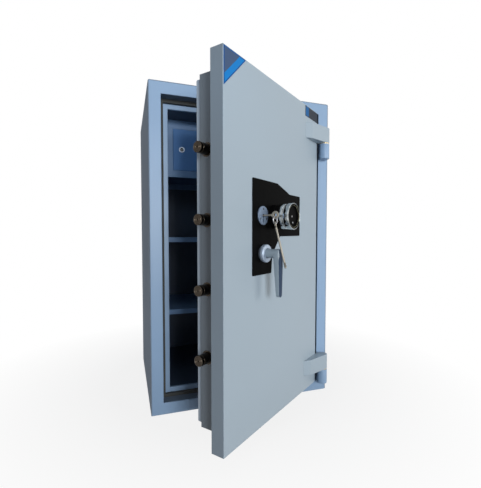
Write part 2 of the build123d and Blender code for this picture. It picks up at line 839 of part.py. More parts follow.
def make_dial():
    base_out, dial_back = escutcheon_face, front - 37
    with BuildPart() as dial_ring:
        with BuildSketch(facing(base_out)):
            with Locations((dial_x, dial_z)):
                Circle(39)
        extrude(amount=base_out - dial_back - 0.5)
        chamfer(dial_ring.faces().sort_by(Axis.Y)[0].edges(), 2)
        with BuildSketch(facing(base_out)):
            with Locations((dial_x, dial_z)):
                Circle(4.1)
        extrude(amount=base_out - dial_back, mode=Mode.SUBTRACT)
    write(dial_ring, "dial_ring", swung=True)

    bands = [(37, 0), (37, 1.5), (40, 3), (40, 18), (37, 19.5), (37, 22), (39, 22), (41.5, 24)]
    mouth = [(41.5, 36), (40, 38), (34, 38), (32, 36), (32, 30), (4, 30), (4, 0)]
    with BuildPart() as dial:
        with BuildSketch(Plane((dial_x, dial_back, dial_z), x_dir=(1, 0, 0), z_dir=(0, 0, 1))):
            with BuildLine():
                Polyline(*[(r, -out) for r, out in bands + mouth], close=True)
            make_face()
        revolve(axis=Axis((dial_x, dial_back, dial_z), (0, 1, 0)))
    write(dial, "dial", swung=True)

    with BuildPart() as dial_face:
        with BuildSketch(facing(dial_back - 30)):
            with Locations((dial_x, dial_z)):
                Circle(31.8)
        extrude(amount=2)
        with BuildSketch(facing(dial_back - 32)):
            with Locations((dial_x, dial_z - 20)):
                Circle(3.5)
        extrude(amount=3)
        fillet(dial_face.faces().sort_by(Axis.Y)[0].edges(), 1)
    write(dial_face, "dial_face", swung=True)

    cam_front = slab_rear + 12
    with BuildPart() as dial_spindle:
        with BuildSketch(facing(dial_back - 30)):
            with Locations((dial_x, dial_z)):
                Circle(4)
        extrude(amount=-(slab_rear + 40 - dial_back + 30))
        with BuildSketch(facing(cam_front)):
            with Locations((dial_x, dial_z)):
                Circle(25)
            with Locations((dial_x, dial_z + 25)):
                Rectangle(6, 14, mode=Mode.SUBTRACT)
        extrude(amount=-5)
    write(dial_spindle, "dial_spindle", swung=True)


# Keys

def make_key():
    """The key in the lock: its bow stands out in front, its bit is inside the lock case."""
    bow_y, bow_r, bow_thickness = front - key_bow_out, 13, 3.5
    bit_start, bit_end = slab_rear + 8 - bow_y, slab_rear + 20 - bow_y
    with BuildPart() as key:
        with BuildSketch(Plane.YZ.offset(key_x)):
            with Locations((bow_y, key_z)):
                Circle(bow_r)
                Circle(5, mode=Mode.SUBTRACT)
            with Locations((bow_y + (bit_start + bit_end) / 2, key_z - 10)):
                Rectangle(bit_end - bit_start, 14)
            for notch in (bit_start + 3.5, bit_start + 8.5):
                with Locations((bow_y + notch, key_z - 16)):
                    Rectangle(1.8, 6, mode=Mode.SUBTRACT)
        extrude(amount=bow_thickness / 2, both=True)
        with BuildSketch(facing(bow_y + 8)):
            with Locations((key_x, key_z)):
                Circle(4)
        extrude(amount=-(bit_end - 8 + 4))
        with Locations((key_x, bow_y, key_z)):
            Cylinder(5, 10, rotation=(0, 90, 0), mode=Mode.SUBTRACT)
    write(key, "key", swung=True)


def key_ring_pivot():
    """The lowest stretch of the bow's rim, which the ring hangs from."""
    return key_x, front - key_bow_out, key_z - 9


def make_key_ring():
    pivot_x, pivot_y, pivot_z = key_ring_pivot()
    ring_r, wire_r = 11.9, 0.9
    ring_mid = pivot_z + 5.6 - ring_r
    with BuildPart() as key_ring:
        with BuildSketch(Plane.XY.offset(ring_mid)):
            with Locations((pivot_x + ring_r, pivot_y)):
                Circle(wire_r)
        revolve(axis=Axis((pivot_x, pivot_y, ring_mid), (0, 1, 0)))
    write(key_ring, "key_ring", swung=True)

    bow_r, hole_r, thickness, lean = 11, 4.3, 3, -15.5
    bow_z = ring_mid - ring_r + wire_r + 0.5 - hole_r
    shank_low = bow_z - 112
    with BuildPart() as spare_key:
        with BuildSketch(Plane.YZ.offset(pivot_x)):
            with Locations((pivot_y, bow_z)):
                Circle(bow_r)
                Circle(hole_r, mode=Mode.SUBTRACT)
            with Locations((pivot_y - 10, shank_low + 9)):
                Rectangle(14, 12)
            for notch in (5.5, 11.5):
                with Locations((pivot_y - 16, shank_low + notch)):
                    Rectangle(6, 1.8, mode=Mode.SUBTRACT)
        extrude(amount=thickness / 2, both=True)
        with BuildSketch(Plane.XY.offset(shank_low)):
            with Locations((pivot_x, pivot_y)):
                Circle(3.5)
        extrude(amount=bow_z - hole_r - 2 - shank_low)
    swing = Axis((pivot_x, pivot_y, ring_mid - ring_r), (1, 0, 0))
    spare_key.part = spare_key.part.rotate(swing, lean)
    write(spare_key, "spare_key", swung=True)


def make_cabinet():
    make_outer_casing()
    make_back_panel()
    make_base_plate()
    make_doorway()
    make_insulation()
    make_inner_liner()
    for label, top in zip(("lower_shelf", "upper_shelf"), shelf_tops):
        make_tray(label, top, shelf_lip)
    make_tray("locker_floor", locker_floor_top, locker_floor_top - locker_base)
    make_shelf_brackets()
    make_locker_front()
    make_locker_door()
    make_locker_lock()
    make_locker_hinges()
    make_hinge_side_pieces()


def make_door():
    make_hinge_arms()
    make_door_skin()
    make_door_core()
    make_step_frame()
    make_back_cover()
    make_dog_bar()
    make_bolts()
    make_bolt_bar()
    make_drive_arm()
    make_drive_cam()
    make_handle()
    make_lock_works()
    make_escutcheon()
    make_key_rose()
    make_dial()
    make_key()
    make_key_ring()


make_cabinet()
make_door()
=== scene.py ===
import bmesh
import bpy
import json
from math import atan2, cos, pi, radians, sin
from mathutils import Matrix, Vector


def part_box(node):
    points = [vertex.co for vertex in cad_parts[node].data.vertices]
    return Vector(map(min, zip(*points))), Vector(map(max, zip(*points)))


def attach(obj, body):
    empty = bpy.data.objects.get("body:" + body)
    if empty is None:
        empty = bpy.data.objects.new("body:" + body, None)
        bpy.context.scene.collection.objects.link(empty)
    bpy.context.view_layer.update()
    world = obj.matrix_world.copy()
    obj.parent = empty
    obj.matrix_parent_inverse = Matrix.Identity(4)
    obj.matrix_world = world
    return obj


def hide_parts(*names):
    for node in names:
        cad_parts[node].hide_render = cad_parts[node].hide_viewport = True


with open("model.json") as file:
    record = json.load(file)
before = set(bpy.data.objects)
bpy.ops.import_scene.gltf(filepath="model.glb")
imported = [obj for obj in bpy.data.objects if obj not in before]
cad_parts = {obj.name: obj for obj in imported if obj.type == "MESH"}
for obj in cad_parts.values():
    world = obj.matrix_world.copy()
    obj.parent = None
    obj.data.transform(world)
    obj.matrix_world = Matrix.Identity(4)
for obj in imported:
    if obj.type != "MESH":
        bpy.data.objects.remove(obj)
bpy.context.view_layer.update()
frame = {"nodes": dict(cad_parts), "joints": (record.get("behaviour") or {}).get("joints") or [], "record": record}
nodes = frame["nodes"]
joints = {joint["name"]: joint for joint in frame["joints"]}
mm = 0.001


# The door is described shut, then turned about its hinge to where it stands open
hinge = Vector(joints["door_swing"]["pos_m"])
openAngle = radians(-joints["door_swing"]["range_deg"][0])
doorTurn = Matrix.Translation(hinge) @ Matrix.Rotation(openAngle, 4, "Z") @ Matrix.Translation(-hinge)
shutTurn = doorTurn.inverted()
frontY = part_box("front_frame")[0].y


def shutPlace(jointName):
    # A joint's axis on the shut door: x and z on the door's face
    place = shutTurn @ Vector(joints[jointName]["pos_m"])
    return Vector((place.x, frontY, place.z))


keyAt = shutPlace("key_turn")
dialAt = shutPlace("dial_turn")
handleAt = shutPlace("handle_turn")


def shutBox(node):
    # A door node's lowest and highest corners with the door shut
    points = [shutTurn @ vertex.co for vertex in nodes[node].data.vertices]
    low = Vector([min(p[i] for p in points) for i in range(3)])
    high = Vector([max(p[i] for p in points) for i in range(3)])
    return low, high


skinLow, skinHigh = shutBox("door_skin")


# Mesh helpers

def emptyMesh():
    return bmesh.new()


def finishMesh(bm, name, body, material, onDoor=False, smooth=35, doubles=1e-6):
    if doubles:
        bmesh.ops.remove_doubles(bm, verts=bm.verts, dist=doubles)
    bmesh.ops.recalc_face_normals(bm, faces=bm.faces)
    if onDoor:
        bmesh.ops.transform(bm, matrix=doorTurn, verts=bm.verts)
    mesh = bpy.data.meshes.new(name)
    bm.to_mesh(mesh)
    bm.free()
    mesh.materials.append(material)
    piece = bpy.data.objects.new(name, mesh)
    bpy.context.scene.collection.objects.link(piece)
    if smooth:
        mesh.shade_smooth()
        mesh.set_sharp_from_angle(angle=radians(smooth))
    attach(piece, body)
    return piece


def spinProfile(bm, profile, centre, axis="Y", steps=64):
    # profile: (radius, height along the axis) pairs, turned a full circle about the axis
    direction = {"X": Vector((1, 0, 0)), "Y": Vector((0, 1, 0)), "Z": Vector((0, 0, 1))}[axis]
    across = Vector((0, 0, 1)) if axis != "Z" else Vector((1, 0, 0))
    verts = [bm.verts.new(centre + across * r * mm + direction * h * mm) for r, h in profile]
    edges = [bm.edges.new(pair) for pair in zip(verts, verts[1:])]
    bmesh.ops.spin(bm, geom=verts + edges, cent=centre, axis=direction,
                   angle=2 * pi, steps=steps, use_merge=True, use_duplicate=False)
    bmesh.ops.remove_doubles(bm, verts=bm.verts, dist=1e-6)


def bevelSharp(bm, size, segments, angle):
    # Rounds every edge sharper than the angle, and gives back the new faces
    edges = [e for e in bm.edges if e.is_manifold and e.calc_face_angle(0) > radians(angle)]
    return bmesh.ops.bevel(bm, geom=edges, offset=size * mm, offset_type="OFFSET", segments=segments,
                           profile=0.5, affect="EDGES", clamp_overlap=True, material=-1)["faces"]


def closeLoop(outline):
    return outline + outline[:1]


def addBox(bm, low, high):
    made = bmesh.ops.create_cube(bm, size=1)["verts"]
    size = Vector(high) - Vector(low)
    bmesh.ops.scale(bm, verts=made, vec=size)
    bmesh.ops.translate(bm, verts=made, vec=(Vector(low) + Vector(high)) / 2)
    return made


# Shader groups shared by several finishes

def newGroup(name, inputs, outputs):
    group = bpy.data.node_groups.new(name, "ShaderNodeTree")
    for label, kind, default in inputs:
        socket = group.interface.new_socket(label, in_out="INPUT", socket_type=kind)
        socket.default_value = default
    for label, kind in outputs:
        group.interface.new_socket(label, in_out="OUTPUT", socket_type=kind)
    start = group.nodes.new("NodeGroupInput")
    end = group.nodes.new("NodeGroupOutput")
    return group, start, end


def addNode(tree, kind, **values):
    node = tree.nodes.new(kind)
    for key, value in values.items():
        setattr(node, key, value)
    return node


paintLook = {"slowScale": 2.2, "slowDetail": 4, "peelDetail": 2, "fineScale": 1900, "speckle": 0.05,
             "darkenTop": 0.22, "roughDrift": 0.12, "peelHeight": 0.0006}


def paintGroup(p):
    # Enamel: slow drift in tone, fine speckle, orange-peel height
    group, start, end = newGroup(
        "enamelSkin",
        [("Color", "NodeSocketColor", (0.4, 0.45, 0.5, 1)), ("Drift", "NodeSocketFloat", 0.06),
         ("Peel Scale", "NodeSocketFloat", 420.0), ("Roughness", "NodeSocketFloat", 0.4),
         ("Floor Darkening", "NodeSocketFloat", 0.1)],
        [("Color", "NodeSocketColor"), ("Roughness", "NodeSocketFloat"), ("Height", "NodeSocketFloat")])
    link = group.links.new
    coords = addNode(group, "ShaderNodeTexCoord")
    slow = addNode(group, "ShaderNodeTexNoise")
    slow.inputs["Scale"].default_value = p["slowScale"]
    slow.inputs["Detail"].default_value = p["slowDetail"]
    peel = addNode(group, "ShaderNodeTexNoise")
    peel.inputs["Detail"].default_value = p["peelDetail"]
    fine = addNode(group, "ShaderNodeTexNoise")
    fine.inputs["Scale"].default_value = p["fineScale"]
    for noise in (slow, peel, fine):
        link(coords.outputs["Object"], noise.inputs["Vector"])
    link(start.outputs["Peel Scale"], peel.inputs["Scale"])

    drift = addNode(group, "ShaderNodeMath", operation="SUBTRACT")
    drift.inputs[1].default_value = 0.5
    link(slow.outputs["Fac"], drift.inputs[0])
    amount = addNode(group, "ShaderNodeMath", operation="MULTIPLY")
    link(drift.outputs[0], amount.inputs[0])
    link(start.outputs["Drift"], amount.inputs[1])
    speckle = addNode(group, "ShaderNodeMath", operation="MULTIPLY_ADD")
    speckle.inputs[1].default_value = p["speckle"]
    speckle.inputs[2].default_value = 1 - p["speckle"] / 2
    link(fine.outputs["Fac"], speckle.inputs[0])
    gain = addNode(group, "ShaderNodeMath", operation="ADD")
    link(amount.outputs[0], gain.inputs[0])
    link(speckle.outputs[0], gain.inputs[1])

    # The colour darkens towards the floor, in slow patches
    split = addNode(group, "ShaderNodeSeparateXYZ")
    link(coords.outputs["Object"], split.inputs[0])
    low = addNode(group, "ShaderNodeMapRange")
    low.inputs["From Min"].default_value = p["darkenTop"]
    low.inputs["From Max"].default_value = 0.0
    link(split.outputs["Z"], low.inputs["Value"])
    floorDarkening = addNode(group, "ShaderNodeMath", operation="MULTIPLY")
    link(low.outputs["Result"], floorDarkening.inputs[0])
    link(start.outputs["Floor Darkening"], floorDarkening.inputs[1])
    patchyDarkening = addNode(group, "ShaderNodeMath", operation="MULTIPLY")
    link(floorDarkening.outputs[0], patchyDarkening.inputs[0])
    link(slow.outputs["Fac"], patchyDarkening.inputs[1])
    dirty = addNode(group, "ShaderNodeMath", operation="SUBTRACT")
    link(gain.outputs[0], dirty.inputs[0])
    link(patchyDarkening.outputs[0], dirty.inputs[1])
    tint = addNode(group, "ShaderNodeVectorMath", operation="SCALE")
    link(start.outputs["Color"], tint.inputs[0])
    link(dirty.outputs[0], tint.inputs["Scale"])
    link(tint.outputs[0], end.inputs["Color"])

    rough = addNode(group, "ShaderNodeMath", operation="MULTIPLY_ADD")
    rough.inputs[1].default_value = p["roughDrift"]
    link(slow.outputs["Fac"], rough.inputs[0])
    link(start.outputs["Roughness"], rough.inputs[2])
    link(rough.outputs[0], end.inputs["Roughness"])
    link(peel.outputs["Fac"], end.inputs["Height"])
    return group


turnedLook = {"lineScale": 60, "lineDetail": 5, "smudgeScale": 35, "smudgeDetail": 3, "lineHeight": 0.0003}


def turnedGroup(t):
    # Turned or drawn metal: fine lines along one axis, with faint handling marks. On the chrome the lines lie
    # level as strong bright and dark bands, which are painted reflections in the base colour.
    group, start, end = newGroup(
        "toolMarksAndReflectionBands",
        [("Color", "NodeSocketColor", (0.6, 0.6, 0.6, 1)), ("Stretch", "NodeSocketVector", (1, 1, 1)),
         ("Roughness", "NodeSocketFloat", 0.25), ("Marks", "NodeSocketFloat", 0.15),
         ("Contrast", "NodeSocketFloat", 0.3)],
        [("Color", "NodeSocketColor"), ("Roughness", "NodeSocketFloat"), ("Height", "NodeSocketFloat")])
    link = group.links.new
    coords = addNode(group, "ShaderNodeTexCoord")
    stretch = addNode(group, "ShaderNodeVectorMath", operation="MULTIPLY")
    link(coords.outputs["Object"], stretch.inputs[0])
    link(start.outputs["Stretch"], stretch.inputs[1])
    lines = addNode(group, "ShaderNodeTexNoise")
    lines.inputs["Scale"].default_value = t["lineScale"]
    lines.inputs["Detail"].default_value = t["lineDetail"]
    link(stretch.outputs[0], lines.inputs["Vector"])
    smudge = addNode(group, "ShaderNodeTexNoise")
    smudge.inputs["Scale"].default_value = t["smudgeScale"]
    smudge.inputs["Detail"].default_value = t["smudgeDetail"]
    link(coords.outputs["Object"], smudge.inputs["Vector"])
    centred = addNode(group, "ShaderNodeMath", operation="SUBTRACT")
    centred.inputs[1].default_value = 0.5
    link(lines.outputs["Fac"], centred.inputs[0])
    tone = addNode(group, "ShaderNodeMath", operation="MULTIPLY_ADD")
    tone.inputs[2].default_value = 1.0
    link(centred.outputs[0], tone.inputs[0])
    link(start.outputs["Contrast"], tone.inputs[1])
    tint = addNode(group, "ShaderNodeVectorMath", operation="SCALE")
    link(start.outputs["Color"], tint.inputs[0])
    link(tone.outputs[0], tint.inputs["Scale"])
    link(tint.outputs[0], end.inputs["Color"])
    marks = addNode(group, "ShaderNodeMath", operation="MULTIPLY")
    link(smudge.outputs["Fac"], marks.inputs[0])
    link(start.outputs["Marks"], marks.inputs[1])
    rough = addNode(group, "ShaderNodeMath", operation="ADD")
    link(marks.outputs[0], rough.inputs[0])
    link(start.outputs["Roughness"], rough.inputs[1])
    link(rough.outputs[0], end.inputs["Roughness"])
    link(lines.outputs["Fac"], end.inputs["Height"])
    return group


enamelSkin = paintGroup(paintLook)
toolMarksAndReflectionBands = turnedGroup(turnedLook)
print("shader groups ready")


def groupMaterial(name, group, settings, plain, bump):
    # settings go to the group's sockets, plain ones to the shader's own
    material = bpy.data.materials.new(name)
    material.use_nodes = True
    tree = material.node_tree
    shader = tree.nodes["Principled BSDF"]
    skin = addNode(tree, "ShaderNodeGroup", node_tree=group)
    for label, value in settings.items():
        skin.inputs[label].default_value = value
    for label, value in plain.items():
        shader.inputs[label].default_value = value
    height = addNode(tree, "ShaderNodeBump")
    height.inputs["Strength"].default_value = bump[0]
    height.inputs["Distance"].default_value = bump[1]
    link = tree.links.new
    link(skin.outputs["Color"], shader.inputs["Base Color"])
    link(skin.outputs["Roughness"], shader.inputs["Roughness"])
    link(skin.outputs["Height"], height.inputs["Height"])
    link(height.outputs["Normal"], shader.inputs["Normal"])
    return material


def enamel(name, color, rough=0.36, drift=0.05, peel=420, bump=0.10, coat=0.12, floorDarkening=0.12, gloss=0.35):
    return groupMaterial(
        name, enamelSkin,
        {"Color": (*color, 1), "Roughness": rough, "Drift": drift, "Peel Scale": peel, "Floor Darkening": floorDarkening},
        {"Coat Weight": coat, "Coat Roughness": 0.3, "Specular IOR Level": gloss},
        (bump, paintLook["peelHeight"]))


def turned(name, color, stretch, rough=0.22, marks=0.15, metallic=1.0, bump=0.08, contrast=0.3):
    return groupMaterial(
        name, toolMarksAndReflectionBands,
        {"Color": (*color, 1), "Stretch": stretch, "Roughness": rough, "Marks": marks, "Contrast": contrast},
        {"Metallic": metallic}, (bump, turnedLook["lineHeight"]))


finishes = {
    # The cabinet enamel darkens most towards the floor
    "cabinet_paint": enamel("cabinetEnamel", (0.262, 0.385, 0.555), floorDarkening=0.35),
    "door_paint": enamel("doorEnamel", (0.335, 0.405, 0.465)),
    "interior_paint": enamel("interiorEnamel", (0.125, 0.235, 0.420), rough=0.42),
    "base_steel": enamel("primer", (0.10, 0.11, 0.12), rough=0.6, coat=0.0),
    "insulation": enamel("castFilling", (0.55, 0.53, 0.48), rough=0.85, peel=160, bump=0.6, coat=0.0),
    "seal": enamel("expandingStrip", (0.055, 0.056, 0.052), rough=0.75, peel=300, bump=0.4, coat=0.0),
    "gloss_black": enamel("glossBlack", (0.004, 0.004, 0.004), rough=0.20, drift=0.02, bump=0.05,
                          coat=0.0, gloss=0.008),
    "dark_face": enamel("dialBlack", (0.004, 0.004, 0.004), rough=0.28, bump=0.05, coat=0.0, gloss=0.01),
    "handle_paint": enamel("leverEnamel", (0.290, 0.350, 0.400), rough=0.26, bump=0.06, coat=0.3),
    "rose_metal": turned("roseSatin", (0.19, 0.25, 0.35), (1, 1, 1), rough=0.30, metallic=0.5),
    # Painted reflection: the chrome's base colour is banded bright and dark across its height
    "chrome": turned("chrome", (0.42, 0.45, 0.46), (0, 0, 0.9), rough=0.07, marks=0.08, bump=0.0,
                     contrast=2.4),
    "bolt_steel": turned("blackedSteel", (0.050, 0.040, 0.031), (14, 14, 1), rough=0.17, contrast=0.8),
    "zinc_steel": turned("zincSteel", (0.50, 0.51, 0.53), (1, 1, 8), rough=0.34),
    "lock_brass": turned("lockBrass", (0.70, 0.52, 0.25), (4, 1, 1), rough=0.30),
    "lock_case": enamel("caseEnamel", (0.25, 0.26, 0.27), rough=0.45),
    "key_brass": turned("keyMetal", (0.31, 0.285, 0.24), (1, 8, 1), rough=0.42, metallic=0.5),
    "ring_steel": turned("ringSteel", (0.40, 0.40, 0.42), (1, 1, 1), rough=0.25),
}
# Parts whose tone differs from the finish that their slot names. Most of these tones are light and shade painted
# into the colour: darker copies for the casing, back panel, jamb, liner, step frame and locker partition, and a
# lighter one for the locker door.
ownTonesAndPaintedLight = {
    # Painted shade: casing and back panel are a darker copy of the cabinet enamel
    "outer_casing": enamel("casingShadeEnamel", (0.215, 0.270, 0.345), rough=0.58, coat=0.0, gloss=0.1),
    "back_panel": enamel("panelShadeEnamel", (0.215, 0.270, 0.345), rough=0.58, coat=0.0, gloss=0.1),
    # Painted shade: the jamb is a darker copy of the cabinet enamel
    "door_jamb": enamel("jambShadeEnamel", (0.175, 0.220, 0.285), rough=0.6, coat=0.0, gloss=0.05),
    # Painted shade: the liner is darkened so that the inside reads near-black
    "inner_liner": enamel("linerShadeEnamel", (0.035, 0.055, 0.095), rough=0.5),
    # Painted shade: the step frame is a darker copy of the door enamel
    "step_frame": enamel("stepShadeEnamel", (0.175, 0.202, 0.232), rough=0.40),
    "back_cover": enamel("coverEnamel", (0.440, 0.500, 0.570), rough=0.42),
    # Painted light: the locker door is a lighter copy of the interior enamel
    "locker_door": enamel("lockerLitEnamel", (0.125, 0.265, 0.540), rough=0.5, coat=0.0, gloss=0.12),
    # Painted shade: the partition is a darker copy of the interior enamel
    "locker_partition": enamel("partitionShadeEnamel", (0.060, 0.095, 0.160), rough=0.5),
}

for row in frame["record"]["subparts"]:
    slots = nodes[row["node"]].data.materials
    slots.clear()
    slots.append(ownTonesAndPaintedLight.get(row["node"], finishes[row["material_slot"]]))
print("frame finishes set")


# Camera, at the place from which the photograph was taken
camera = {"place": (-0.4364, -1.6057, 0.652), "turnRight": 0.3372, "tiltDown": 0.0444, "roll": 0.0012,
          "focalPixels": 349.8, "centrePixel": (249.2, 252.4), "imageSize": (481, 488), "sensor": 36}


def makeCamera(c):
    data = bpy.data.cameras.new("camera")
    view = bpy.data.objects.new("camera", data)
    bpy.context.scene.collection.objects.link(view)
    longSide = max(c["imageSize"])
    data.sensor_width = c["sensor"]
    data.lens = c["sensor"] * c["focalPixels"] / longSide
    data.shift_x = (c["imageSize"][0] / 2 - c["centrePixel"][0]) / longSide
    data.shift_y = (c["centrePixel"][1] - c["imageSize"][1] / 2) / longSide
    data.clip_end = 60
    turn = Matrix.Rotation(-c["turnRight"], 4, "Z") @ Matrix.Rotation(pi / 2 - c["tiltDown"], 4, "X")
    view.matrix_world = Matrix.Translation(c["place"]) @ turn @ Matrix.Rotation(c["roll"], 4, "Z")
    bpy.context.scene.camera = view


makeCamera(camera)


# Lamps: broad ones in front, on the right and above, and a narrow one through the doorway to the locker
lamps = {
    "front": {"place": (0.30, -6.6, 1.45), "aim": (-0.1, -0.3, 0.55), "size": 1.9, "watts": 245,
              "tint": (0.93, 0.97, 1)},
    "side": {"place": (4.2, -3.4, 1.2), "aim": (0.1, -0.4, 0.6), "size": 2.2, "watts": 82,
             "tint": (0.98, 0.93, 0.85)},
    "top": {"place": (0.2, -0.6, 3.4), "aim": (0, -0.2, 0.6), "size": 2.0, "watts": 12, "tint": (1, 1, 1)},
    "doorway": {"place": (-0.50, -1.65, 1.25), "aim": (-0.15, -0.1, 1.0), "size": 0.15, "watts": 9,
                "tint": (0.60, 0.80, 1), "cone": 25, "blend": 0.9},
}


def makeLamps():
    for name, lamp in lamps.items():
        if "cone" in lamp:
            data = bpy.data.lights.new(name, "SPOT")
            data.spot_size, data.spot_blend = radians(lamp["cone"]), lamp["blend"]
            data.shadow_soft_size = lamp["size"]
        else:
            data = bpy.data.lights.new(name, "AREA")
            data.shape = "SQUARE"
            data.size = lamp["size"]
        data.energy = lamp["watts"]
        data.color = lamp["tint"]
        light = bpy.data.objects.new(name, data)
        bpy.context.scene.collection.objects.link(light)
        place = Vector(lamp["place"])
        aim = Vector(lamp["aim"]) - place
        light.matrix_world = Matrix.Translation(place) @ aim.to_track_quat("-Z", "Y").to_matrix().to_4x4()


worldLook = {"light": (0.72, 0.84, 1.0, 1), "strength": 0.17}


def whiteToLens(tree):
    # 1 for rays from the lens, and for those that gloss or glass sends on
    path = addNode(tree, "ShaderNodeLightPath")
    first = addNode(tree, "ShaderNodeMath", operation="MAXIMUM")
    second = addNode(tree, "ShaderNodeMath", operation="MAXIMUM")
    tree.links.new(path.outputs["Is Camera Ray"], first.inputs[0])
    tree.links.new(path.outputs["Is Glossy Ray"], first.inputs[1])
    tree.links.new(first.outputs[0], second.inputs[0])
    tree.links.new(path.outputs["Is Transmission Ray"], second.inputs[1])
    return second.outputs[0]


def makeWorld(w):
    world = bpy.data.worlds.new("studio")
    bpy.context.scene.world = world
    world.use_nodes = True
    tree = world.node_tree
    plain = tree.nodes["Background"]
    plain.inputs["Color"].default_value = w["light"]
    plain.inputs["Strength"].default_value = w["strength"]
    seen = addNode(tree, "ShaderNodeBackground")
    seen.inputs["Color"].default_value = (1, 1, 1, 1)
    seen.inputs["Strength"].default_value = 1.0
    mix = addNode(tree, "ShaderNodeMixShader")
    tree.links.new(whiteToLens(tree), mix.inputs["Fac"])
    tree.links.new(plain.outputs[0], mix.inputs[1])
    tree.links.new(seen.outputs[0], mix.inputs[2])
    tree.links.new(mix.outputs[0], tree.nodes["World Output"].inputs["Surface"])


floorLook = {"radius": 14.0, "color": (0.30, 0.30, 0.30, 1), "rough": 0.7, "glow": 0.86, "fade": (0.50, 1.2)}


def makeFloor(f):
    bm = emptyMesh()
    bmesh.ops.create_circle(bm, cap_ends=True, segments=96, radius=f["radius"])
    mesh = bpy.data.meshes.new("floor")
    bm.to_mesh(mesh)
    bm.free()
    floor = bpy.data.objects.new("floor", mesh)
    bpy.context.scene.collection.objects.link(floor)
    material = bpy.data.materials.new("floorWhite")
    material.use_nodes = True
    tree = material.node_tree
    shader = tree.nodes["Principled BSDF"]
    shader.inputs["Base Color"].default_value = f["color"]
    shader.inputs["Roughness"].default_value = f["rough"]
    glow = addNode(tree, "ShaderNodeEmission")
    glow.inputs["Color"].default_value = (1, 1, 1, 1)
    # The floor fades to white away from the safe, so that no horizon is seen
    coords = addNode(tree, "ShaderNodeTexCoord")
    far = addNode(tree, "ShaderNodeVectorMath", operation="LENGTH")
    fade = addNode(tree, "ShaderNodeMapRange")
    for label, value in zip(("From Min", "From Max", "To Min", "To Max"), (*f["fade"], f["glow"], 1.0)):
        fade.inputs[label].default_value = value
    share = addNode(tree, "ShaderNodeMath", operation="MULTIPLY")
    tree.links.new(coords.outputs["Object"], far.inputs[0])
    tree.links.new(far.outputs["Value"], fade.inputs["Value"])
    tree.links.new(fade.outputs["Result"], share.inputs[0])
    tree.links.new(whiteToLens(tree), share.inputs[1])
    mix = addNode(tree, "ShaderNodeMixShader")
    tree.links.new(share.outputs[0], mix.inputs["Fac"])
    tree.links.new(shader.outputs[0], mix.inputs[1])
    tree.links.new(glow.outputs[0], mix.inputs[2])
    tree.links.new(mix.outputs[0], tree.nodes["Material Output"].inputs["Surface"])
    mesh.materials.append(material)


makeLamps()
makeWorld(worldLook)
makeFloor(floorLook)
bpy.context.scene.view_settings.view_transform = "Standard"
print("camera, lamps and floor ready")


# Steel parts: copies of the CAD solids with their edges rounded as pressed or welded plate has them

softEdges = {
    "door_skin": 1.6, "step_frame": 1.2, "front_frame": 1.0, "door_stop_frame": 1.2,
    "hinge_arm_lower": 1.6, "hinge_arm_upper": 1.6, "hinge_block_lower": 1.4, "hinge_block_upper": 1.4,
    "dog_bar": 1.2,
}
bodyOf = {}
for bodyName, bodyNodes in frame["record"]["behaviour"]["bodies"].items():
    for nodeName in bodyNodes:
        bodyOf[nodeName] = bodyName


# Angles are in degrees, lengths in metres and areas in square metres.
# Faces that meet at less than "curve" belong to a curve, and a face larger than "flat" is a plane.
softening = {"merge": 2e-5, "weld": 0.8, "curve": 20, "still": 0.02, "flat": 0.004, "round": 40, "crease": 42,
             "facing": 0.9, "slabShadeColor": (0.235, 0.285, 0.335), "slabRough": 0.4}


def soften(node, size, s):
    bm = emptyMesh()
    bm.from_mesh(nodes[node].data)
    bmesh.ops.remove_doubles(bm, verts=bm.verts, dist=s["merge"])
    bmesh.ops.dissolve_limit(bm, angle_limit=radians(s["weld"]), verts=bm.verts, edges=bm.edges)
    freeEdge = doorTurn.to_3x3() @ Vector((-1, 0, 0))
    for face in bm.faces:
        turning = any(s["still"] < e.calc_face_angle(0) < radians(s["curve"]) for e in face.edges)
        face.smooth = turning and face.calc_area() < s["flat"]
        # Painted shade: the door's free edge gets a darker copy of the door enamel
        if node == "door_skin" and face.normal.dot(freeEdge) > s["facing"]:
            face.material_index = 1
    for face in bevelSharp(bm, size, segments=3, angle=s["round"]):
        face.smooth = True
    for edge in bm.edges:
        edge.smooth = edge.calc_face_angle(0) < radians(s["crease"])
    piece = finishMesh(bm, "soft_" + node, bodyOf[node], nodes[node].data.materials[0], doubles=0, smooth=0)
    if node == "door_skin":
        piece.data.materials.append(enamel("slabEdgeShade", s["slabShadeColor"], rough=s["slabRough"]))
    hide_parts(node)


for node, size in softEdges.items():
    soften(node, size, softening)
print("steel edges rounded")


# Lever handle

lever = {"topR": 14.5, "tipR": 9.5, "drop": 123, "outFront": 66, "outTop": 64, "facet": 20, "outBack": 47,
         "tipBack": 55, "edge": 3.0, "weld": 2, "round": 40,
         "neck": [(0, -12.5), (16, -12.5), (14.5, -14.5), (13.8, -41), (14.5, -48), (12.5, -53), (0, -53)],
         "faceFrom": 60, "facing": 0.993, "frontShadeColor": (0.040, 0.062, 0.105)}


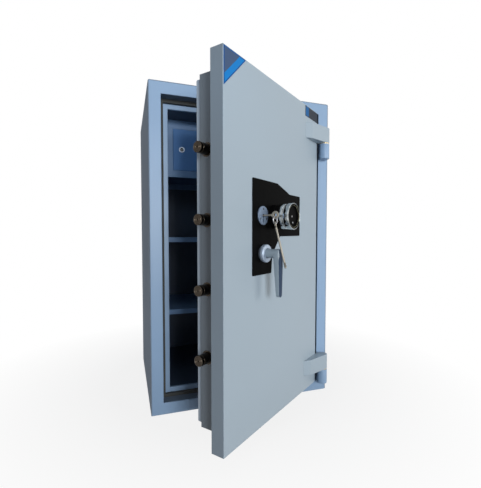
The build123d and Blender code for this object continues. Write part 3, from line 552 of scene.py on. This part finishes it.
def makeLever(s):
    bm = emptyMesh()
    facetR = s["topR"] - (s["topR"] - s["tipR"]) * s["facet"] / s["drop"]
    shapes = [(s["topR"], 0, s["outTop"]), (facetR, -s["facet"], s["outFront"]), (s["topR"], 0, s["outBack"]),
              (s["tipR"], -s["drop"], s["outFront"]), (s["tipR"], -s["drop"], s["tipBack"])]
    for radius, rise, out in shapes:
        ring = bmesh.ops.create_circle(bm, segments=32, radius=radius * mm)["verts"]
        bmesh.ops.rotate(bm, verts=ring, matrix=Matrix.Rotation(pi / 2, 3, "X"))
        bmesh.ops.translate(bm, verts=ring, vec=handleAt + Vector((0, -out * mm, rise * mm)))
    bmesh.ops.convex_hull(bm, input=bm.verts)
    bmesh.ops.dissolve_limit(bm, angle_limit=radians(s["weld"]), verts=bm.verts, edges=bm.edges)
    bevelSharp(bm, s["edge"], segments=4, angle=s["round"])
    spinProfile(bm, s["neck"], handleAt)
    bm.normal_update()
    # Painted shade: the lever's front face gets a darker copy of its enamel, and the sides keep the lighter one
    for face in bm.faces:
        isFront = face.calc_center_median().y < handleAt.y - s["faceFrom"] * mm
        face.material_index = int(isFront and abs(face.normal.y) > s["facing"])
    piece = finishMesh(bm, "leverHandle", "handle", finishes["handle_paint"], onDoor=True)
    front = enamel("leverFaceShade", s["frontShadeColor"], rough=0.3, bump=0.05, coat=0.0, gloss=0.03)
    piece.data.materials.append(front)
    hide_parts("handle")


makeLever(lever)

collar = {"profile": [(7.5, -3), (24.5, -3), (24.5, -8), (27.4, -8.4), (28, -9.2), (28, -17), (27.4, -18.8),
                      (25.6, -20.4), (22, -21.4), (17.5, -22), (16.4, -21.8), (15.6, -21.2), (15.4, -20.4),
                      (15.4, -11.8), (7.5, -11.8)],
          "color": (0.36, 0.43, 0.53)}


def makeCollar(s):
    bm = emptyMesh()
    spinProfile(bm, closeLoop(s["profile"]), handleAt)
    satin = turned("collarSatin", s["color"], (1, 1, 1), rough=0.36, marks=0.1, metallic=0.55)
    piece = finishMesh(bm, "leverCollar", "door", satin, onDoor=True)
    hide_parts("handle_collar")


makeCollar(collar)
print("handle ready")


def spunPiece(name, profile, centre, body, slot, steps=64, replaced=None, onDoor=True, finish=None):
    # A closed turned part from one (radius, height) outline
    bm = emptyMesh()
    spinProfile(bm, closeLoop(profile), centre, steps=steps)
    piece = finishMesh(bm, name, body, finish or finishes[slot], onDoor=onDoor)
    if replaced:
        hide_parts(replaced)


# Combination dial

dial = {
    "base": [(4.2, -3), (38.4, -3), (39, -3.8), (39, -20), (38.2, -21), (38.2, -22.4), (39, -23.4),
             (39, -26), (38, -27), (4.2, -27)],
    "grip": [(4.2, -27.6), (37.2, -27.6), (39.4, -28.4), (40, -29.8), (40, -49.4), (39.4, -50.8),
             (37.2, -51.8), (36.8, -52.6), (36.8, -54.4), (38.8, -55), (41.1, -56.6), (41.5, -57.8),
             (41.5, -73.2), (41.1, -74.4), (40.2, -75), (39.8, -74.8), (39.8, -66), (4.2, -66)],
    "flange": [(39.7, -74.6), (38.9, -74.7), (33.4, -72.6), (32.4, -71.4), (32, -67.6), (3, -67.6),
               (3, -66.4), (39.7, -66.4)],
    "pin": [(0, -67.4), (3.4, -67.4), (3.4, -69.6), (2.7, -70.6), (1.2, -71), (0, -71)], "pinDrop": 20,
    "slopeRise": 2.3, "slopeRun": 5.5, "markColor": (0.36, 0.34, 0.20),
    "marks": 100, "markAt": 33.7, "markOut": 72.666, "markShort": 1.5, "markLong": 2.5, "markWide": 0.5,
    "markTall": 0.22,
    "figures": 10, "figureAt": 37.5, "figureOut": 74.5, "figureTall": 2.1, "figureDeep": 0.12,
}


def makeDial(d):
    spunPiece("dialBase", d["base"], dialAt, "door", "gloss_black", replaced="dial_ring", steps=96)
    spunPiece("dialGrip", d["grip"], dialAt, "dial", "chrome", replaced="dial", steps=128)
    spunPiece("dialFlange", d["flange"], dialAt, "dial", "dark_face", replaced="dial_face", steps=96)
    pinAt = dialAt - Vector((0, 0, d["pinDrop"] * mm))
    spunPiece("dialPin", d["pin"], pinAt, "dial", "chrome", steps=24)


def flangePlace(d, share, out, rise):
    # The place on the dial's sloping flange, a share of a full turn round from the top
    slope = Matrix.Rotation(atan2(d["slopeRise"], d["slopeRun"]), 4, "X")
    place = Matrix.Rotation(2 * pi * share, 4, "Y") @ Matrix.Translation((0, -out * mm, rise * mm)) @ slope
    return Matrix.Translation(dialAt) @ place


def makeDialMarks(d, cream):
    # A ring of division marks, with a long one at every figure
    bm = emptyMesh()
    half = d["markWide"] * mm / 2
    for k in range(d["marks"]):
        long = d["markLong"] if k % (d["marks"] // d["figures"]) == 0 else d["markShort"]
        made = addBox(bm, (-half, -d["markTall"] * mm, 0), (half, 0, long * mm))
        place = flangePlace(d, k / d["marks"], d["markOut"], d["markAt"])
        bmesh.ops.transform(bm, matrix=place, verts=made)
    piece = finishMesh(bm, "dialMarks", "dial", cream, onDoor=True, smooth=0)


def figureMesh(d, text):
    curve = bpy.data.curves.new("figure", "FONT")
    curve.body = text
    curve.size = d["figureTall"] * mm
    curve.align_x, curve.align_y = "CENTER", "CENTER"
    curve.extrude = d["figureDeep"] * mm
    holder = bpy.data.objects.new("figureHolder", curve)
    bpy.context.scene.collection.objects.link(holder)
    bpy.context.view_layer.update()
    mesh = bpy.data.meshes.new_from_object(holder.evaluated_get(bpy.context.evaluated_depsgraph_get()))
    bpy.data.objects.remove(holder)
    bm = emptyMesh()
    bm.from_mesh(mesh)
    bpy.data.meshes.remove(mesh)
    return bm


def makeDialFigures(d, cream):
    upright = Matrix.Rotation(pi / 2, 4, "X")
    for k in range(d["figures"]):
        bm = figureMesh(d, str(k * d["marks"] // d["figures"]))
        place = flangePlace(d, k / d["figures"], d["figureOut"], d["figureAt"]) @ upright
        bmesh.ops.transform(bm, matrix=place, verts=bm.verts)
        piece = finishMesh(bm, "dialFigure%02d" % k, "dial", cream, onDoor=True, smooth=0)


makeDial(dial)
dialCream = enamel("dialMarks", dial["markColor"], rough=0.45, bump=0.0, floorDarkening=0.0)
makeDialMarks(dial, dialCream)
makeDialFigures(dial, dialCream)
print("dial ready")


# Key rose screws

roseScrew = {"profile": [(0, -6.6), (3.4, -6.6), (3.5, -7.0), (2.8, -7.6), (1.4, -7.9), (0, -8.0)],
             "ring": 20, "turns": (90, 210, 330), "color": (0.02, 0.025, 0.035)}


def makeRoseScrews(s):
    dark = enamel("screwSlot", s["color"], rough=0.5, bump=0.0)
    for k, turn in enumerate(s["turns"]):
        at = keyAt + Vector((cos(radians(turn)), 0, sin(radians(turn)))) * s["ring"] * mm
        spunPiece("roseScrew%d" % k, s["profile"], at, "door", "rose_metal", steps=24, finish=dark)


makeRoseScrews(roseScrew)


# Keys: a ring-shaped bow cut from plate, and a turned shank with a bit

keyInLock = {"bowR": 11.9, "holeR": 4.7, "thick": 3.4, "bowOut": 48, "edge": 0.9,
             "shank": [(0, -37.4), (3.0, -37.4), (3.4, -36.6), (3.4, -33.6), (2.4, -32.6), (2.4, -7.2),
                       (2.4, 40), (0, 40)],
             "bitLow": (-1.5, 8, -17), "bitHigh": (1.5, 20, -1)}


def makeBow(bm, centre, k):
    # Two rings in the plate's plane, bridged, thickened and rounded; the plate's normal is X
    rings = []
    for radius in (k["bowR"], k["holeR"]):
        made = bmesh.ops.create_circle(bm, segments=36, radius=radius * mm)["verts"]
        bmesh.ops.rotate(bm, verts=made, matrix=Matrix.Rotation(pi / 2, 3, "Y"))
        bmesh.ops.translate(bm, verts=made, vec=(-k["thick"] * mm / 2, 0, 0))
        rings += made
    loops = [e for e in bm.edges if e.verts[0] in rings]
    faces = bmesh.ops.bridge_loops(bm, edges=loops)["faces"]
    out = bmesh.ops.extrude_face_region(bm, geom=faces)["geom"]
    top = [v for v in out if isinstance(v, bmesh.types.BMVert)]
    bmesh.ops.translate(bm, verts=top, vec=(k["thick"] * mm, 0, 0))
    bevelSharp(bm, k["edge"], segments=3, angle=50)
    bmesh.ops.translate(bm, verts=bm.verts, vec=centre)


def makeKeyInLock(k):
    bm = emptyMesh()
    makeBow(bm, keyAt + Vector((0, -k["bowOut"] * mm, 0)), k)
    spinProfile(bm, closeLoop(k["shank"]), keyAt, steps=28)
    # The bit's corners are measured from the key's axis, at the back of the door's skin
    behind = Vector((keyAt.x, skinHigh.y, keyAt.z))
    addBox(bm, behind + Vector(k["bitLow"]) * mm, behind + Vector(k["bitHigh"]) * mm)
    piece = finishMesh(bm, "keyInLock", "key", finishes["key_brass"], onDoor=True)
    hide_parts("key")


makeKeyInLock(keyInLock)

# The shank's top is measured from the bow's centre and its end from the foot
hangingKey = {"ringR": 11.9, "wireR": 0.75, "wireGap": 0.8, "pivotDrop": 9, "ringUp": 5.6, "out": 48,
              "bowR": 10.5, "holeR": 4.6, "play": 1.6, "thick": 2.8, "edge": 0.8,
              "twist": -50, "lean": -15.5, "length": 135,
              "shankTop": [(0, -7.1), (3.2, -7.6), (3.2, -15), (4.2, -15.6), (4.2, -17.4), (3.2, -18)],
              "shankEnd": [(3.2, 1), (2.4, 0), (0, 0)],
              "bitUp": 4, "bitTall": 13, "bitReach": (14.2, 11.2, 14.2), "bitRoot": 1, "bitHalf": 1.4,
              "bitGap": 0.9, "bitColor": (0.10, 0.095, 0.085)}


def makeKeyRing(h):
    rise = h["ringUp"] - h["pivotDrop"] - h["ringR"]
    middle = keyAt + Vector((0, -h["out"] * mm, rise * mm))
    bm = emptyMesh()
    for side in (-1, 1):
        wire = bmesh.ops.create_circle(bm, segments=10, radius=h["wireR"] * mm)["verts"]
        shift = Vector((h["ringR"] * mm, side * h["wireGap"] * mm, 0))
        bmesh.ops.translate(bm, verts=wire, vec=middle + shift)
        edges = list({e for v in wire for e in v.link_edges})
        bmesh.ops.spin(bm, geom=wire + edges, cent=middle, axis=(0, 1, 0), angle=2 * pi, steps=56,
                       use_merge=True, use_duplicate=False)
    piece = finishMesh(bm, "splitRing", "key_ring", finishes["ring_steel"], onDoor=True)
    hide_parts("key_ring")


def makeHangingKey(h):
    low = keyAt + Vector((0, -h["out"] * mm, (h["ringUp"] - h["pivotDrop"] - 2 * h["ringR"]) * mm))
    bowDrop = -(h["holeR"] - h["wireR"] - h["play"])
    foot = bowDrop - h["length"]
    bm = emptyMesh()
    makeBow(bm, Vector((0, 0, bowDrop * mm)), h)
    shank = [(r, bowDrop + up) for r, up in h["shankTop"]] + [(r, foot + up) for r, up in h["shankEnd"]]
    spinProfile(bm, closeLoop(shank), Vector((0, 0, 0)), axis="Z", steps=28)
    step, half = h["bitTall"] / len(h["bitReach"]), h["bitHalf"] * mm
    for k, reach in enumerate(h["bitReach"]):
        base = foot + h["bitUp"] + k * step
        top = base + step - h["bitGap"]
        addBox(bm, (-half, -reach * mm, base * mm), (half, -h["bitRoot"] * mm, top * mm))
    for face in bm.faces:
        isBit = face.calc_center_median().z < (foot + h["bitUp"] + h["bitTall"]) * mm
        face.material_index = int(isBit)
    turn = Matrix.Rotation(radians(h["lean"]), 4, "X") @ Matrix.Rotation(radians(h["twist"]), 4, "Z")
    bmesh.ops.transform(bm, matrix=Matrix.Translation(low) @ turn, verts=bm.verts)
    piece = finishMesh(bm, "hangingKey", "key_ring", finishes["key_brass"], onDoor=True)
    piece.data.materials.append(turned("bitSteel", h["bitColor"], (1, 1, 8), rough=0.4))
    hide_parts("spare_key")


makeKeyRing(hangingKey)
makeHangingKey(hangingKey)
print("keys ready")


# Locking bolts, their bushes in the step frame, and the cover's screws

boltLow, boltHigh = shutBox("locking_bolts")
bolt = {"r": 16, "reach": 86, "tail": 26, "tailR": 8, "heights": (300, 500, 700, 900),
        "face": [(0, 3), (2.1, 3), (2.3, 0.5), (5.4, 0.4), (5.8, 0.9), (6.4, 0.9), (6.8, 0.4), (10.8, 0.3),
                 (11.2, 0.8), (11.8, 0.8), (12.2, 0.3), (13.6, 0.2), (14.4, 0), (15.3, 0.5), (15.9, 1.6),
                 (16, 2.6)],
        "neck": [(16, 9), (15.6, 9.4), (15.6, 10.2), (16, 10.6)]}


def makeBolts(b):
    bm = emptyMesh()
    tailEnd = b["reach"] + b["tail"]
    rear = [(b["r"], b["reach"]), (b["tailR"], b["reach"]), (b["tailR"], tailEnd), (0, tailEnd)]
    for height in b["heights"]:
        at = Vector((boltLow.x, (boltLow.y + boltHigh.y) / 2, height * mm))
        spinProfile(bm, b["face"] + b["neck"] + rear, at, axis="X", steps=56)
    piece = finishMesh(bm, "turnedBolts", "bolt_work", finishes["bolt_steel"], onDoor=True, smooth=25)
    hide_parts("locking_bolts")


makeBolts(bolt)

bush = {"profile": [(16.5, 0.4), (16.5, -1.0), (16.9, -1.4), (19.7, -1.4), (20.5, -0.4), (20.5, 0.4)]}


def makeBushes(u):
    stepLow, _ = shutBox("step_frame")
    bm = emptyMesh()
    for height in bolt["heights"]:
        at = Vector((stepLow.x, (boltLow.y + boltHigh.y) / 2, height * mm))
        spinProfile(bm, closeLoop(u["profile"]), at, axis="X", steps=56)
    piece = finishMesh(bm, "boltBushes", "door", finishes["bolt_steel"], onDoor=True)


makeBushes(bush)

coverScrew = {"head": [(5.5, 0), (5.4, 1.0), (4.6, 2.2), (3.2, 2.8), (2.7, 2.9), (2.5, 1.3), (0, 1.1)],
              "headR": 5.5, "headTall": 3, "shank": 3, "depth": 6, "rows": 5}


def makeCoverScrews(c):
    # One head for each of the ten solids in the CAD part, in two columns
    low, high = shutBox("cover_screws")
    edge = c["headR"] * mm
    rear = high.y - c["headTall"] * mm
    gap = (high.z - low.z - 2 * edge) / (c["rows"] - 1)
    outline = [(0, -c["depth"]), (c["shank"], -c["depth"]), (c["shank"], 0)] + c["head"]
    bm = emptyMesh()
    for x in (low.x + edge, high.x - edge):
        for row in range(c["rows"]):
            spinProfile(bm, outline, Vector((x, rear, low.z + edge + row * gap)), steps=24)
    piece = finishMesh(bm, "coverScrewHeads", "door", finishes["zinc_steel"], onDoor=True)
    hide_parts("cover_screws")


makeCoverScrews(coverScrew)
print("bolts and screws ready")


# Locker cylinder: a bright collar round a dark core with a key slot

lockerLock = {"collar": [(0, 22), (8.9, 22), (8.9, 0), (12, 0), (12, -1.6), (11.2, -2.8), (9.6, -3.0),
                         (7.2, -2.6), (6.8, -1.0), (0, -1.0)],
              "core": [(0, -0.8), (6.7, -0.8), (6.7, -1.6), (6.2, -2.2), (0, -2.2)],
              "slotLow": (-0.9, -2.5, -4), "slotHigh": (0.9, -2.0, 4), "ringColor": (0.34, 0.38, 0.44)}


def makeLockerLock(k):
    at = Vector(joints["locker_lock_turn"]["pos_m"])
    at.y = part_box("locker_door")[0].y
    ring = turned("lockerSatin", k["ringColor"], (1, 1, 1), rough=0.3)
    spunPiece("lockerCollar", k["collar"], at, "locker_lock", "chrome", onDoor=False, steps=48,
              replaced="locker_lock", finish=ring)
    spunPiece("lockerCore", k["core"], at, "locker_lock", "chrome", onDoor=False, steps=36,
              finish=finishes["dark_face"])
    bm = emptyMesh()
    addBox(bm, at + Vector(k["slotLow"]) * mm, at + Vector(k["slotHigh"]) * mm)
    piece = finishMesh(bm, "lockerSlot", "locker_lock", finishes["zinc_steel"], smooth=0)


makeLockerLock(lockerLock)
print("locker lock ready")


# Corner label and bare plate on the door

plateSink = 0.2 * mm
# "bordersOff" is how many borders each leg of the field is shorter than the label's
cornerLabel = {"leg": 103, "inset": 2.4, "thick": 0.5, "border": 3.4, "bordersOff": 3.4, "band": (0.74, 1.0),
               "fieldThick": 0.65, "bandThick": 0.8, "baseColor": (0.008, 0.075, 0.26),
               "fieldColor": (0.055, 0.090, 0.170), "bandColor": (0.010, 0.190, 0.520)}


def flatPlate(corners, thick, name, material):
    # A thin plate through (x, z) corners in metres, sunk a little into the door's face
    bm = emptyMesh()
    verts = [bm.verts.new((x, skinLow.y + plateSink, z)) for x, z in corners]
    face = bm.faces.new(verts)
    out = bmesh.ops.extrude_face_region(bm, geom=[face])["geom"]
    top = [v for v in out if isinstance(v, bmesh.types.BMVert)]
    bmesh.ops.translate(bm, verts=top, vec=(0, -thick * mm - plateSink, 0))
    piece = finishMesh(bm, name, "door", material, onDoor=True, smooth=0)


def plateEnamel(name, color, bump):
    return enamel(name, color, rough=0.4, bump=bump, coat=0.0, gloss=0.08)


def makeCornerLabel(s):
    left, top = skinLow.x + s["inset"] * mm, skinHigh.z - s["inset"] * mm
    leg, edge = s["leg"] * mm, s["border"] * mm
    base = plateEnamel("labelBlue", s["baseColor"], 0.02)
    flatPlate([(left, top), (left + leg, top), (left, top - leg)], s["thick"], "labelBase", base)
    inner = leg - edge * s["bordersOff"]
    x, z = left + edge, top - edge
    field = plateEnamel("labelGrey", s["fieldColor"], 0.02)
    flatPlate([(x, z), (x + inner, z), (x, z - inner)], s["fieldThick"], "labelField", field)
    near, far = (inner * share for share in s["band"])
    band = plateEnamel("labelSky", s["bandColor"], 0.02)
    flatPlate([(x + near, z), (x + far, z), (x, z - far), (x, z - near)], s["bandThick"], "labelBand", band)


makeCornerLabel(cornerLabel)

barePlate = {"width": 112, "height": 38, "inset": 3, "border": 2, "thick": 1.0,
             "blockTo": 30, "blockThick": 1.2, "baseColor": (0.030, 0.036, 0.048),
             "blockColor": (0.015, 0.110, 0.300)}


def makeBarePlate(s):
    right, top = skinHigh.x - s["inset"] * mm, skinHigh.z - s["inset"] * mm
    left, low = right - s["width"] * mm, top - s["height"] * mm
    base = plateEnamel("plateDark", s["baseColor"], 0.03)
    flatPlate([(left, top), (right, top), (right, low), (left, low)], s["thick"], "plateBase", base)
    edge, split = s["border"] * mm, left + s["blockTo"] * mm
    corners = [(left + edge, top - edge), (split, top - edge), (split, low + edge), (left + edge, low + edge)]
    block = plateEnamel("plateBlue", s["blockColor"], 0.03)
    flatPlate(corners, s["blockThick"], "plateBlock", block)


makeBarePlate(barePlate)
print("plates ready")
